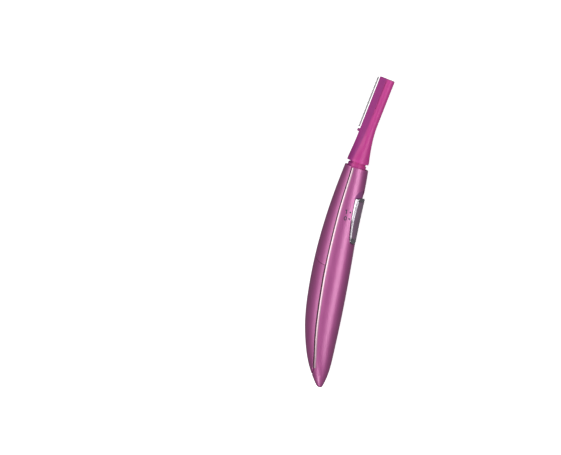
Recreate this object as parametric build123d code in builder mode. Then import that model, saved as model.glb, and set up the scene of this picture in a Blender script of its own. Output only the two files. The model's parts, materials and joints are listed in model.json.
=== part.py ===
from build123d import *
import os
from math import atan2, cos, degrees, radians, sin

os.makedirs("parts", exist_ok=True)

# =============================================================================================
# Battery facial hair trimmer: a curved handle with a pull-off cutting head on a rocking neck.
# It lies on its side. +Y runs from the pointed tip to the head, +X is the switch side and +Z is
# up, square to the plane in which the handle curves. Millimetres and degrees throughout.
# "Station" is the distance up the handle from its tip. Heights z are taken from the mid-plane.
# =============================================================================================

# ---- frame
TIP_Y = -80.0               # row y of the tip, so that the origin is under the middle of the whole
MID_Z = 8.4                 # height of the plane of symmetry, half of the handle's thickness
FIT = 0.05                  # radial clearance of a running fit
SLIVER = 0.1                # clearance between neighbouring fixed pieces

# ---- handle: station, x of the front line, x of the back line, half thickness
HANDLE = [
    (0.0, 4.20, 2.40, 0.85),
    (0.5, 4.55, 1.65, 1.40),
    (1.5, 4.95, 0.80, 2.05),
    (3.5, 5.50, -0.55, 3.05),
    (7.0, 6.20, -2.75, 4.35),
    (12.0, 6.70, -5.30, 5.75),
    (20.0, 6.95, -8.15, 7.10),
    (32.0, 7.30, -10.95, 8.05),
    (48.0, 7.50, -12.30, 8.40),
    (64.0, 7.35, -12.25, 8.20),
    (80.0, 7.05, -11.00, 7.70),
    (96.0, 7.00, -8.75, 6.95),
    (108.0, 6.98, -6.45, 6.35),
    (114.5, 6.70, -5.05, 6.20),
]
WALL = 1.4                  # shell thickness over most of the handle
RIM_WALL = 0.75             # shell thickness at the mouth, where the neck needs room to rock
RIM_THINNING_FROM = 96.0    # station where the wall begins to thin
CAVITY_FROM = 7.0           # the tip below this station is solid
HANDLE_LENGTH = HANDLE[-1][0]
RIM_STATION = 112.85        # middle of the mouth
RIM_SLOPE = 9.0             # the mouth leans towards the switch side
RIM_X = 0.7

# ---- seam between the front shell and the pieces behind it: x and station
SEAM = [
    (1.25, 117),
    (0.45, 105.5),
    (-0.72, 94.5),
    (-1.65, 79),
    (-2.11, 60),
    (-1.67, 42),
    (-0.60, 24),
    (0.36, 9.5),
]
SEAM_GAP = 0.3
SEAM_END_RADIUS = 5.0       # near the tip the seam turns towards the back
SEAM_END_TURN = 35.0
SEAM_TAIL = 9.0             # straight run of the seam past the end of that turn
LIP_RADIUS = 0.5            # rounding of the shell edges along the seam
LIP_EDGE = 20.0             # those edges are longer than this
FAR = 25.0                  # past the outside of the handle
COVER_TOP = 66.2            # station of the battery cover's upper edge, at the back
COVER_ARCH = 10.4           # radius of that edge
COVER_HALF = 9.0

# ---- battery, motor and chassis
CELL_X = -1.1
CELL_RADIUS = 5.25          # one AAA cell, 44.5 long over its nub
CELL_FROM, CELL_SHOULDER, CELL_TO = 20.8, 64.5, 65.3
NUB_RADIUS = 1.9
SPRING_RADIUS, SPRING_WIRE, SPRING_TURNS = 2.6, 0.25, 3
PLATE = 0.4                 # thickness of the contact plates
CONTACT_X = (-4.3, 3.9)
CONTACT_HALF = 2.8
SPINE_X = (4.4, 5.4)        # the chassis' long plate, behind the front shell
SPINE_HALF = 2.8
LEAD_X = (4.1, 4.4)
NEGATIVE_Z, POSITIVE_Z, MOTOR_Z = (1.9, 2.9), (-1.8, -1.3), (-2.9, -2.1)
BULKHEADS = [(15.6, 17.0), (66.2, 67.4), (86.1, 87.3), (101.6, 102.8)]
SPINE_TO = 106.2
MOTOR_RADIUS, MOTOR_FLAT = 5.0, 4.0
CAN_FROM, CAN_TO, CAP_FROM = 71.0, 86.0, 68.6
BOSS_RADIUS = 1.9
SHAFT_RADIUS = 0.5
ARMATURE_RADIUS, ARMATURE_FROM, ARMATURE_TO = 3.2, 72.0, 84.0
HUB_RADIUS, HUB_FROM, HUB_TO = 1.3, 98.5, 107.6
CRANK_RADIUS, CRANK_THROW = 0.4, 0.6
CRANK_FROM, CRANK_TO = 104.4, 111.4
TERMINAL_X = (2.0, 2.5)
TERMINAL_Z = 2.4
SCREWS = [69.6, 104.9]      # stations of the two chassis screws
SCREW_RADIUS, SCREW_HEAD_RADIUS, SCREW_HEAD = 0.6, 1.1, 0.35
SCREW_END_X = 6.7
CELL_EDGE = 0.4
TERMINAL_FROM, TERMINAL_HALF = 67.6, 0.4
CAN_FACE, CAN_BORE = 1.0, 3.7
SHAFT_TO = 104.0

# ---- power switch
SWITCH_TRAVEL = 2.6
SWITCH_FROM, SWITCH_TO = 74.6, 97.9
SWITCH_HALF = 4.25          # half width at its widest, at mid length
SWITCH_END_HALF, SWITCH_TOP_HALF = 3.1, 3.7
SWITCH_WIDEST = 86.5
BOTTOM_ROUND, TOP_ROUND = 2.2, 1.2
FRAME_WIDTH = 1.25                     # width of the bright frame round the lens
POCKET_GAP = 0.22
POCKET_TOP = 101.9
FLOOR_X, FLOOR_RADIUS = 0.05, 6.2      # round floor of the pocket that the switch runs in
FLOOR_GAP = 0.12
SLIDER_THICK = 0.5
SLIDER_INNER = FLOOR_RADIUS + FLOOR_GAP
SLIDER_OUTER = SLIDER_INNER + SLIDER_THICK
SWITCH_CROWN_X, SWITCH_CROWN_RADIUS = 0.2, 7.0
SWITCH_RISE = 0.65                     # the switch stands this much prouder at its upper end
LENS_SINK = 0.1
STEM, STEM_HALF, STEM_TO_X = (91.0, 94.0), 1.2, 2.9
STEM_PLAY = 0.2
STEM_SLOT, STEM_SLOT_X = (STEM[0] - STEM_PLAY, STEM[1] + SWITCH_TRAVEL + STEM_PLAY), (4.0, 6.6)
WIPER_X, WIPER, WIPER_HALF = (2.55, 2.9), (91.5, 93.5), 1.6
PAD_X, PADS, PAD_Z, PAD_HALF = (2.2, 2.5), (91.0, 97.2), 1.0, 0.4
BOARD_X, BOARD_TO = (1.4, 2.2), 97.4
BOARD_POST = (88.8, 90.2)

# ---- switch marks: two dots and two figures beside the switch
MARK_LEAN = 57.0            # direction of the marked patch's normal, from +X towards +Z
MARK_X = 3.5
DOT_ACROSS, FIGURE_ACROSS = -2.0, -4.0
MARK_ON, MARK_OFF = 90.2, 86.9
DOT_RADIUS, FIGURE_HEIGHT, FIGURE_WIDTH, STROKE = 0.42, 2.2, 1.5, 0.36
INK = 0.05

# ---- neck and head. p runs across the head (+p is away from the blade), q runs along it
PIVOT_STATION = 110.0
HEAD_LEAN = 11.8            # the head leans this much towards the switch side
COLLAR_RADIUS, COLLAR_FROM, COLLAR_TO = 4.7, -2.6, 4.5
COLLAR_FOOT_RADIUS, COLLAR_FULL_FROM = 4.2, 0.65
SPIGOT_RADIUS, SPIGOT_TO = 4.1, 9.0
NECK_BORE = 3.5
NECK_PIN_RADIUS, NECK_PIN_FROM, NECK_PIN_TO = 0.9, 4.0, 5.75
NECK_HOLE_TO = 5.85
LEAF_X, LEAF_TO, LEAF_HALF = (3.6, 3.8), 107.6, 1.0
LEAF_NOTCH_TO = -0.7

BASE_Q, BASE_TILT = 5.6, 3.5           # lower face of the head
FLARE_FROM, FLARE_LENGTH, FLARE_POWER = 6.9, 18.0, 1.6
HEAD_TOP = 49.5
HEAD_CORNER = 0.9           # rounding of the top corner at the back
FLARE_SECTIONS = [6.9, 12.9, 18.9, 24.9]
# upper half of each end section, from the blade side over the face to the back: p and z
BASE_SECTION = [
    (-5.98, 0.0),
    (-5.60, 1.92),
    (-4.35, 3.65),
    (-0.90, 5.17),
    (2.50, 4.50),
    (4.62, 2.50),
    (5.34, 0.0),
]
BAR_SECTION = [
    (-5.35, 0.0),
    (-5.34, 0.70),
    (-5.30, 1.40),
    (-2.70, 1.90),
    (-0.10, 2.40),
    (1.60, 1.70),
    (2.31, 0.0),
]
GROOVE_P, GROOVE_WIDTH, GROOVE_DEPTH, GROOVE_FLOOR = -0.9, 0.35, 1.0, 1.95
GROOVE_Q = (33.5, 48.5)
DIMPLE_Q, DIMPLE_RADIUS = 30.8, 0.32

SOCKET_FROM, SOCKET_TO = 1.5, 9.4
LEVER_ROOM_P, LEVER_ROOM_TO, LEVER_ROOM_HALF = (-4.95, 3.1), 14.2, 1.75
CARRIER_ROOM_P, CARRIER_ROOM_Z = (-4.95, -2.7), (-0.95, 0.6)
SCREW_ROOM_Z = (-0.15, 0.6)

LEVER_P, LEVER_Q = 1.4, 11.2
LEVER_Z = (0.1, 1.3)
LEVER_HUB, LEVER_PIN_RADIUS, LEVER_PIN_HALF = 1.3, 0.5, 2.6
LEVER_ARM_P = -4.1          # the arm's tip pin drives the blade carrier
TIP_PIN_RADIUS = 0.4
FORK_GAP, FORK_OUTER, FORK_HALF = 2.0, 2.65, 1.2
FORK_Q = (-1.0, 2.2, 3.4)
STEM_WIDTH = 2.0
LEVER_ARM_HALF = 0.6

TOOTH_PITCH, TOOTH_SLOT, TOOTH_DEPTH, SLOTS = 0.72, 0.34, 0.95, 36
FIRST_SLOT = 22.84          # the moving blade's slots start half a pitch further on
BLADE_Q = (22.3, 48.9)
FIXED_P, FIXED_Z = (-7.09, -1.4), (0.25, 0.55)
MOVING_P, MOVING_Z, MOVING_Q = (-6.9, -2.8), (-0.1, 0.2), (22.6, 48.6)
CARRIER_P, CARRIER_Z, CARRIER_Q = (-4.75, -2.9), (-0.6, -0.1), (9.9, 48.2)
LEAF_SPRING_P, LEAF_SPRING_Z, LEAF_SPRING_Q = (-4.4, -3.2), (-0.88, -0.68), (26.0, 46.0)
BLADE_SCREW_P, BLADE_SCREWS_Q = -2.0, [25.0, 46.0]
BLADE_SCREW_RADIUS, BLADE_SCREW_HEAD, BLADE_SCREW_TO = 0.3, 0.55, 1.5
KNOB_Q, KNOB_RADIUS, KNOB_P, KNOB_ROUND = 20.7, 0.75, (-6.95, -5.0), 0.35

# ---- frames to sketch and build in
MID = Plane(origin=(0, TIP_Y, MID_Z), x_dir=(1, 0, 0), z_dir=(0, 0, 1))      # x, station
SIDE = Plane(origin=(0, TIP_Y, MID_Z), x_dir=(0, 1, 0), z_dir=(1, 0, 0))     # station, z
LEAN = radians(HEAD_LEAN)
HEAD = Plane(origin=(0, TIP_Y + PIVOT_STATION, MID_Z), x_dir=(cos(LEAN), -sin(LEAN), 0), z_dir=(0, 0, 1))
ALONG = {"x": (0, 90, 0), "y": (90, 0, 0), "z": (0, 0, 0)}

HEAD_BASE = Plane(
    origin=HEAD.from_local_coords((0, BASE_Q, 0)),
    x_dir=(0, 0, 1),
    z_dir=(sin(radians(HEAD_LEAN - BASE_TILT)), cos(radians(HEAD_LEAN - BASE_TILT)), 0),
)


def across(station):
    """Plane square to the handle at a station: sketch x is +X, sketch y is -Z."""
    return Plane(origin=(0, TIP_Y + station, MID_Z), x_dir=(1, 0, 0), z_dir=(0, 1, 0))


def across_head(q):
    """Plane square to the head: sketch x is p, sketch y is -Z."""
    return Plane(origin=HEAD.from_local_coords((0, q, 0)), x_dir=HEAD.x_dir, z_dir=HEAD.y_dir)


def block(frame, x, y, z, mode=Mode.ADD):
    """Box that spans the pairs x, y and z in a frame."""
    centre = Location((sum(x) / 2, sum(y) / 2, sum(z) / 2))
    with Locations(frame.location * centre):
        Box(x[1] - x[0], y[1] - y[0], z[1] - z[0], mode=mode)


def rod(frame, axis, start, length, radius, mode=Mode.ADD):
    """Round bar from a start point along one axis of a frame."""
    step = {"x": (length / 2, 0, 0), "y": (0, length / 2, 0), "z": (0, 0, length / 2)}[axis]
    centre = Location(tuple(a + b for a, b in zip(start, step)), ALONG[axis])
    with Locations(frame.location * centre):
        Cylinder(radius, abs(length), mode=mode)


def finish(piece, name):
    """Label a finished piece and write it."""
    piece.part.label = name
    export_step(piece.part, "parts/" + name + ".step")


def wall_at(station):
    """Shell thickness at a station."""
    thinning = max(0, station - RIM_THINNING_FROM) / (HANDLE[-1][0] - RIM_THINNING_FROM)
    return WALL - (WALL - RIM_WALL) * thinning


# =============================================================================================
# Shared bodies, which the pieces are cut from
# =============================================================================================
with BuildPart() as handle_outer:
    for station, front, back, side in HANDLE:
        with BuildSketch(across(station)):
            with Locations(((front + back) / 2, 0)):
                Ellipse((front - back) / 2, side)
    loft()

with BuildPart() as handle_inked:
    for station, front, back, side in HANDLE[3:]:
        with BuildSketch(across(station)):
            with Locations(((front + back) / 2, 0)):
                Ellipse((front - back) / 2 + INK, side + INK)
    loft()

with BuildPart() as handle_cavity:
    for station, front, back, side in HANDLE:
        if station >= CAVITY_FROM:
            with BuildSketch(across(station)):
                with Locations(((front + back) / 2, 0)):
                    Ellipse((front - back) / 2 - wall_at(station), side - wall_at(station))
    loft()

with BuildPart() as chassis_room:
    for station, front, back, side in HANDLE:
        if station >= CAVITY_FROM:
            inset = wall_at(station) + SLIVER
            with BuildSketch(across(station)):
                with Locations(((front + back) / 2, 0)):
                    Ellipse((front - back) / 2 - inset, side - inset)
    loft()

# everything behind the seam
with BuildPart() as rear_zone:
    with BuildSketch(MID.offset(-COVER_HALF)):
        with BuildLine():
            seam = Spline(SEAM, tangents=[(0, -1), (0, -1)])
            bend = JernArc(seam @ 1, (0, -1), SEAM_END_RADIUS, -SEAM_END_TURN)
            tail = Line(bend @ 1, bend @ 1 + (bend % 1) * SEAM_TAIL)
            Polyline(tail @ 1, (-FAR, (tail @ 1).Y), (-FAR, SEAM[0][1]), seam @ 0)
        make_face()
    extrude(amount=2 * COVER_HALF)
REAR_PIECES = rear_zone.part.translate((-SEAM_GAP, 0, 0))

# the slanted plane of the mouth
RIM = Plane(
    origin=(RIM_X, TIP_Y + RIM_STATION, MID_Z),
    x_dir=(0, 0, 1),
    z_dir=(sin(radians(RIM_SLOPE)), cos(radians(RIM_SLOPE)), 0),
)

# everything below the arched upper edge of the battery cover
with BuildPart() as cover_zone:
    with BuildSketch(SIDE.offset(-FAR)):
        with BuildLine():
            arch_end = COVER_TOP - COVER_ARCH + (COVER_ARCH**2 - COVER_HALF**2) ** 0.5
            ThreePointArc((arch_end, -COVER_HALF), (COVER_TOP, 0), (arch_end, COVER_HALF))
            Polyline(
                (arch_end, COVER_HALF),
                (-FAR, COVER_HALF),
                (-FAR, -COVER_HALF),
                (arch_end, -COVER_HALF),
            )
        make_face()
    extrude(amount=2 * FAR)

# room for the switch in the front shell
with BuildPart() as switch_pocket:
    with BuildSketch(SIDE.offset(LEAD_X[0])) as pocket_outline:
        with BuildLine():
            half = SWITCH_HALF + POCKET_GAP
            low = SWITCH_FROM - POCKET_GAP
            low_half = SWITCH_END_HALF + POCKET_GAP
            round_from = POCKET_TOP - half
            ThreePointArc((round_from, half), (POCKET_TOP, 0), (round_from, -half))
            Line((round_from, -half), (SWITCH_WIDEST, -half))
            TangentArc((SWITCH_WIDEST, -half), (low, -low_half), tangent=(-1, 0))
            Line((low, -low_half), (low, low_half))
            TangentArc((SWITCH_WIDEST, half), (low, low_half), tangent=(-1, 0))
            Line((SWITCH_WIDEST, half), (round_from, half))
        make_face()
        fillet(pocket_outline.vertices().group_by(Axis.X)[0], BOTTOM_ROUND)
    extrude(amount=FAR)
    rod(MID, "y", (FLOOR_X, 0, 0), HANDLE_LENGTH, FLOOR_RADIUS, mode=Mode.SUBTRACT)

# upper half of the outside of the head, round at its base and a slim wedge along the blade
head_faces = []
for q in FLARE_SECTIONS:
    reach = (q - FLARE_FROM) / FLARE_LENGTH
    blend = 1 - (1 - reach) ** FLARE_POWER
    section = [
        (base[0] + blend * (bar[0] - base[0]), -base[1] - blend * (bar[1] - base[1]))
        for base, bar in zip(BASE_SECTION, BAR_SECTION)
    ]
    with BuildSketch(across_head(q)) as head_face:
        with BuildLine():
            ThreePointArc(section[0], section[1], section[2])
            Spline(section[2:5])
            Spline(section[4:7])
            Line(section[6], section[0])
        make_face()
    head_faces.append(head_face.sketch)

with BuildPart() as head_outer:
    loft(head_faces)
    extrude(head_faces[0], amount=SOCKET_FROM - FLARE_FROM)
    extrude(head_faces[-1], amount=HEAD_TOP - FLARE_SECTIONS[-1])
    split(bisect_by=HEAD_BASE, keep=Keep.TOP)

# waste outside the rounded top corner
CORNER_P, CORNER_Q = BAR_SECTION[-1][0] - HEAD_CORNER, HEAD_TOP - HEAD_CORNER
with BuildPart() as head_corner:
    block(HEAD, (CORNER_P, FAR), (CORNER_Q, HEAD_TOP + FAR), (-COVER_HALF, COVER_HALF))
    rod(HEAD, "z", (CORNER_P, CORNER_Q, -COVER_HALF), 2 * COVER_HALF, HEAD_CORNER, mode=Mode.SUBTRACT)

# what the head's two halves leave free inside
with BuildPart() as head_room:
    rod(HEAD, "y", (0, SOCKET_FROM, 0), SOCKET_TO - SOCKET_FROM, SPIGOT_RADIUS + FIT)
    block(HEAD, LEVER_ROOM_P, (SOCKET_TO - FIT, LEVER_ROOM_TO), (-LEVER_ROOM_HALF, LEVER_ROOM_HALF))
    block(HEAD, CARRIER_ROOM_P, (SOCKET_TO - FIT, BLADE_Q[1]), CARRIER_ROOM_Z)
    block(HEAD, (-FAR, CARRIER_ROOM_P[1]), (BLADE_Q[0] - SLIVER, BLADE_Q[1]), CARRIER_ROOM_Z)
    block(HEAD, (CARRIER_ROOM_P[1], FIXED_P[1]), (BLADE_Q[0] - SLIVER, BLADE_Q[1]), SCREW_ROOM_Z)
    rod(HEAD, "z", (LEVER_P, LEVER_Q, -LEVER_PIN_HALF), 2 * LEVER_PIN_HALF, LEVER_PIN_RADIUS)
    rod(HEAD, "x", (KNOB_P[0], KNOB_Q, 0), KNOB_P[1] - KNOB_P[0], KNOB_RADIUS)
    for q in BLADE_SCREWS_Q:
        rod(HEAD, "z", (BLADE_SCREW_P, q, 0), BLADE_SCREW_TO, BLADE_SCREW_RADIUS)

# =============================================================================================
# Handle: shells and battery cover
# =============================================================================================
def seam_lips(piece):
    """The two edges of a shell where its outside meets the seam."""
    long_edges = piece.edges().filter_by(lambda edge: edge.length > LIP_EDGE)
    return long_edges.sort_by(lambda edge: -abs((edge @ 0.5).Z - MID_Z))[:2]


with BuildPart() as pin_holes:
    rod(MID, "z", (0, PIVOT_STATION, -NECK_HOLE_TO), 2 * NECK_HOLE_TO, NECK_PIN_RADIUS + FIT)

with BuildPart() as front_shell:
    add(handle_outer.part)
    split(bisect_by=RIM, keep=Keep.BOTTOM)
    add(handle_cavity.part, mode=Mode.SUBTRACT)
    add(rear_zone.part, mode=Mode.SUBTRACT)
    fillet(seam_lips(front_shell), LIP_RADIUS)
    add(switch_pocket.part, mode=Mode.SUBTRACT)
    block(MID, STEM_SLOT_X, STEM_SLOT, (-STEM_HALF - SLIVER, STEM_HALF + SLIVER), mode=Mode.SUBTRACT)
    add(pin_holes.part, mode=Mode.SUBTRACT)
    for station in SCREWS:
        rod(MID, "x", (SPINE_X[0], station, 0), SCREW_END_X - SPINE_X[0], SCREW_RADIUS, mode=Mode.SUBTRACT)
finish(front_shell, "front_shell")

with BuildPart() as back_shell:
    add(handle_outer.part)
    split(bisect_by=RIM, keep=Keep.BOTTOM)
    add(handle_cavity.part, mode=Mode.SUBTRACT)
    add(REAR_PIECES, mode=Mode.INTERSECT)
    add(cover_zone.part, mode=Mode.SUBTRACT)
    fillet(seam_lips(back_shell), LIP_RADIUS)
    add(pin_holes.part, mode=Mode.SUBTRACT)
finish(back_shell, "back_shell")

with BuildPart() as battery_cover:
    add(handle_outer.part)
    add(handle_cavity.part, mode=Mode.SUBTRACT)
    add(REAR_PIECES, mode=Mode.INTERSECT)
    add(cover_zone.part.translate((0, -SEAM_GAP, 0)), mode=Mode.INTERSECT)
    fillet(seam_lips(battery_cover), LIP_RADIUS)
finish(battery_cover, "battery_cover")

# =============================================================================================
# Chassis, cell and wiring
# =============================================================================================
with BuildPart() as chassis:
    block(MID, SPINE_X, (BULKHEADS[0][0], SPINE_TO), (-SPINE_HALF, SPINE_HALF))
    for bulkhead in BULKHEADS:
        block(MID, (-FAR, SPINE_X[1]), bulkhead, (-COVER_HALF, COVER_HALF))
    add(chassis_room.part, mode=Mode.INTERSECT)
    block(MID, (BOARD_X[1], SPINE_X[0]), BOARD_POST, (-SPINE_HALF, SPINE_HALF))
    for lead in (NEGATIVE_Z, POSITIVE_Z, MOTOR_Z):
        notch = (lead[0] - SLIVER, lead[1] + SLIVER)
        block(MID, LEAD_X, (BULKHEADS[0][0], BOARD_POST[1]), notch, mode=Mode.SUBTRACT)
    block(MID, SPINE_X, STEM_SLOT, (-STEM_HALF - SLIVER, STEM_HALF + SLIVER), mode=Mode.SUBTRACT)
    for station in SCREWS:
        rod(MID, "x", (SPINE_X[0], station, 0), WALL, SCREW_RADIUS, mode=Mode.SUBTRACT)
    rod(MID, "y", (0, CAN_TO, 0), HUB_FROM - CAN_TO, BOSS_RADIUS + FIT, mode=Mode.SUBTRACT)
    rod(MID, "y", (0, HUB_FROM, 0), HUB_TO - HUB_FROM, HUB_RADIUS + FIT, mode=Mode.SUBTRACT)
finish(chassis, "chassis")

with BuildPart() as chassis_screws:
    for station in SCREWS:
        rod(MID, "x", (SPINE_X[0] - SCREW_HEAD, station, 0), SCREW_HEAD, SCREW_HEAD_RADIUS)
        rod(MID, "x", (SPINE_X[0], station, 0), SCREW_END_X - SPINE_X[0], SCREW_RADIUS)
finish(chassis_screws, "chassis_screws")

with BuildPart() as aaa_cell:
    rod(MID, "y", (CELL_X, CELL_FROM, 0), CELL_SHOULDER - CELL_FROM, CELL_RADIUS)
    fillet(aaa_cell.edges().filter_by(GeomType.CIRCLE), CELL_EDGE)
    rod(MID, "y", (CELL_X, CELL_SHOULDER, 0), CELL_TO - CELL_SHOULDER, NUB_RADIUS)
finish(aaa_cell, "aaa_cell")

with BuildPart() as positive_contact:
    block(MID, CONTACT_X, (CELL_TO, CELL_TO + PLATE), (-CONTACT_HALF, CONTACT_HALF))
finish(positive_contact, "positive_contact")

with BuildPart() as negative_contact:
    block(MID, CONTACT_X, (BULKHEADS[0][1], BULKHEADS[0][1] + PLATE), (-CONTACT_HALF, CONTACT_HALF))
finish(negative_contact, "negative_contact")

with BuildPart() as negative_spring:
    spring_from = BULKHEADS[0][1] + PLATE + SPRING_WIRE
    spring_rise = CELL_FROM - SPRING_WIRE - spring_from
    spring_foot = (CELL_X, TIP_Y + spring_from, MID_Z)
    with BuildLine() as coil:
        Helix(
            spring_rise / SPRING_TURNS,
            spring_rise,
            SPRING_RADIUS,
            center=spring_foot,
            direction=(0, 1, 0),
        )
    with BuildSketch(Plane(origin=coil.line @ 0, z_dir=coil.line % 0)):
        Circle(SPRING_WIRE)
    sweep(is_frenet=True)
finish(negative_spring, "negative_spring")

with BuildPart() as negative_lead:
    block(MID, LEAD_X, (BULKHEADS[0][1], TERMINAL_FROM + PLATE), NEGATIVE_Z)
    block(MID, (CONTACT_X[1], LEAD_X[0]), (BULKHEADS[0][1], BULKHEADS[0][1] + PLATE), NEGATIVE_Z)
    block(MID, (TERMINAL_X[1], LEAD_X[0]), (TERMINAL_FROM, TERMINAL_FROM + PLATE), NEGATIVE_Z)
finish(negative_lead, "negative_lead")

with BuildPart() as positive_lead:
    block(MID, LEAD_X, (CELL_TO, BOARD_POST[0]), POSITIVE_Z)
    block(MID, (CONTACT_X[1], LEAD_X[0]), (CELL_TO, CELL_TO + PLATE), POSITIVE_Z)
    block(MID, (BOARD_X[1], LEAD_X[0]), (BOARD_POST[0] - PLATE, BOARD_POST[0]), POSITIVE_Z)
finish(positive_lead, "positive_lead")

with BuildPart() as motor_lead:
    block(MID, LEAD_X, (TERMINAL_FROM, BOARD_POST[0]), MOTOR_Z)
    block(MID, (TERMINAL_X[1], LEAD_X[0]), (TERMINAL_FROM, TERMINAL_FROM + PLATE), MOTOR_Z)
    block(MID, (BOARD_X[1], LEAD_X[0]), (BOARD_POST[0] - PLATE, BOARD_POST[0]), MOTOR_Z)
finish(motor_lead, "motor_lead")

with BuildPart() as switch_board:
    block(MID, BOARD_X, (BOARD_POST[0] - PLATE, BOARD_TO), (-SPINE_HALF, SPINE_HALF))
finish(switch_board, "switch_board")

with BuildPart() as switch_contacts:
    for side in (-1, 1):
        centre = side * PAD_Z
        block(MID, PAD_X, PADS, (centre - PAD_HALF, centre + PAD_HALF))
finish(switch_contacts, "switch_contacts")

# =============================================================================================
# Motor and crank
# =============================================================================================
with BuildPart() as motor_can:
    with BuildSketch(across(CAN_FROM)):
        Circle(MOTOR_RADIUS)
        Rectangle(2 * MOTOR_FLAT, 2 * MOTOR_RADIUS, mode=Mode.INTERSECT)
    extrude(amount=CAN_TO - CAN_FROM)
    rod(MID, "y", (0, CAN_TO, 0), BULKHEADS[2][1] - CAN_TO, BOSS_RADIUS)
    rod(MID, "y", (0, CAN_FROM, 0), CAN_TO - CAN_FROM - CAN_FACE, CAN_BORE, mode=Mode.SUBTRACT)
    rod(MID, "y", (0, CAN_FROM, 0), SHAFT_TO - CAN_FROM, SHAFT_RADIUS + FIT, mode=Mode.SUBTRACT)
finish(motor_can, "motor_can")

with BuildPart() as motor_end_cap:
    with BuildSketch(across(CAP_FROM)):
        Circle(MOTOR_RADIUS - SLIVER)
        Rectangle(2 * (MOTOR_FLAT - SLIVER), 2 * MOTOR_RADIUS, mode=Mode.INTERSECT)
    extrude(amount=CAN_FROM - CAP_FROM)
    rod(MID, "y", (0, CAP_FROM, 0), CAN_FROM - CAP_FROM, SHAFT_RADIUS + FIT, mode=Mode.SUBTRACT)
finish(motor_end_cap, "motor_end_cap")

with BuildPart() as motor_terminals:
    for side in (-1, 1):
        z = (side * TERMINAL_Z - TERMINAL_HALF, side * TERMINAL_Z + TERMINAL_HALF)
        block(MID, TERMINAL_X, (TERMINAL_FROM, CAP_FROM), z)
finish(motor_terminals, "motor_terminals")

with BuildPart() as motor_shaft:
    rod(MID, "y", (0, CAP_FROM, 0), SHAFT_TO - CAP_FROM, SHAFT_RADIUS)
finish(motor_shaft, "motor_shaft")

with BuildPart() as motor_armature:
    rod(MID, "y", (0, ARMATURE_FROM, 0), ARMATURE_TO - ARMATURE_FROM, ARMATURE_RADIUS)
    rod(MID, "y", (0, CAN_FROM, 0), CAN_TO - CAN_FROM, SHAFT_RADIUS, mode=Mode.SUBTRACT)
finish(motor_armature, "motor_armature")

with BuildPart() as crank_hub:
    rod(MID, "y", (0, HUB_FROM, 0), HUB_TO - HUB_FROM, HUB_RADIUS)
    rod(MID, "y", (0, HUB_FROM, 0), SHAFT_TO - HUB_FROM, SHAFT_RADIUS, mode=Mode.SUBTRACT)
    rod(MID, "y", (0, CRANK_FROM, CRANK_THROW), CRANK_TO - CRANK_FROM, CRANK_RADIUS, mode=Mode.SUBTRACT)
finish(crank_hub, "crank_hub")

with BuildPart() as crank_pin:
    rod(MID, "y", (0, CRANK_FROM, CRANK_THROW), CRANK_TO - CRANK_FROM, CRANK_RADIUS)
finish(crank_pin, "crank_pin")

# =============================================================================================
# Power switch
# =============================================================================================
SWITCH_LEAN = degrees(atan2(SWITCH_RISE, SWITCH_TO - SWITCH_FROM))
CROWN = Plane(
    origin=(SWITCH_CROWN_X, TIP_Y + SWITCH_FROM, MID_Z),
    x_dir=(cos(radians(SWITCH_LEAN)), -sin(radians(SWITCH_LEAN)), 0),
    z_dir=(0, 0, 1),
)

# plan of the whole switch, bowed along its sides and rounder at its lower end
with BuildSketch(SIDE.offset(LEAD_X[0])) as switch_plan:
    with BuildLine():
        for side in (-1, 1):
            widest = (SWITCH_WIDEST, side * SWITCH_HALF)
            TangentArc(widest, (SWITCH_FROM, side * SWITCH_END_HALF), tangent=(-1, 0))
            TangentArc(widest, (SWITCH_TO, side * SWITCH_TOP_HALF), tangent=(1, 0))
        Line((SWITCH_FROM, -SWITCH_END_HALF), (SWITCH_FROM, SWITCH_END_HALF))
        Line((SWITCH_TO, -SWITCH_TOP_HALF), (SWITCH_TO, SWITCH_TOP_HALF))
    make_face()
    fillet(switch_plan.vertices().group_by(Axis.X)[0], BOTTOM_ROUND)
    fillet(switch_plan.vertices().group_by(Axis.X)[-1], TOP_ROUND)

with BuildSketch(SIDE.offset(LEAD_X[0])) as lens_plan:
    add(switch_plan.sketch_local)
    offset(amount=-FRAME_WIDTH, kind=Kind.INTERSECTION)

with BuildPart() as switch_bezel:
    extrude(switch_plan.sketch, amount=FAR)
    extrude(lens_plan.sketch, amount=FAR, mode=Mode.SUBTRACT)
    rod(CROWN, "y", (0, -FAR, 0), HANDLE_LENGTH, SWITCH_CROWN_RADIUS, mode=Mode.INTERSECT)
    rod(MID, "y", (FLOOR_X, 0, 0), HANDLE_LENGTH, SLIDER_INNER, mode=Mode.SUBTRACT)
finish(switch_bezel, "switch_bezel")

with BuildPart() as switch_lens:
    extrude(lens_plan.sketch, amount=FAR)
    rod(CROWN, "y", (0, -FAR, 0), HANDLE_LENGTH, SWITCH_CROWN_RADIUS - LENS_SINK, mode=Mode.INTERSECT)
    rod(MID, "y", (FLOOR_X, 0, 0), HANDLE_LENGTH, SLIDER_OUTER, mode=Mode.SUBTRACT)
finish(switch_lens, "switch_lens")

with BuildPart() as switch_slider:
    extrude(lens_plan.sketch, amount=FAR)
    rod(MID, "y", (FLOOR_X, 0, 0), HANDLE_LENGTH, SLIDER_OUTER, mode=Mode.INTERSECT)
    rod(MID, "y", (FLOOR_X, 0, 0), HANDLE_LENGTH, SLIDER_INNER, mode=Mode.SUBTRACT)
    block(MID, (STEM_TO_X, FLOOR_X + SLIDER_INNER), STEM, (-STEM_HALF, STEM_HALF))
finish(switch_slider, "switch_slider")

with BuildPart() as switch_wiper:
    block(MID, WIPER_X, WIPER, (-WIPER_HALF, WIPER_HALF))
finish(switch_wiper, "switch_wiper")

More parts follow.
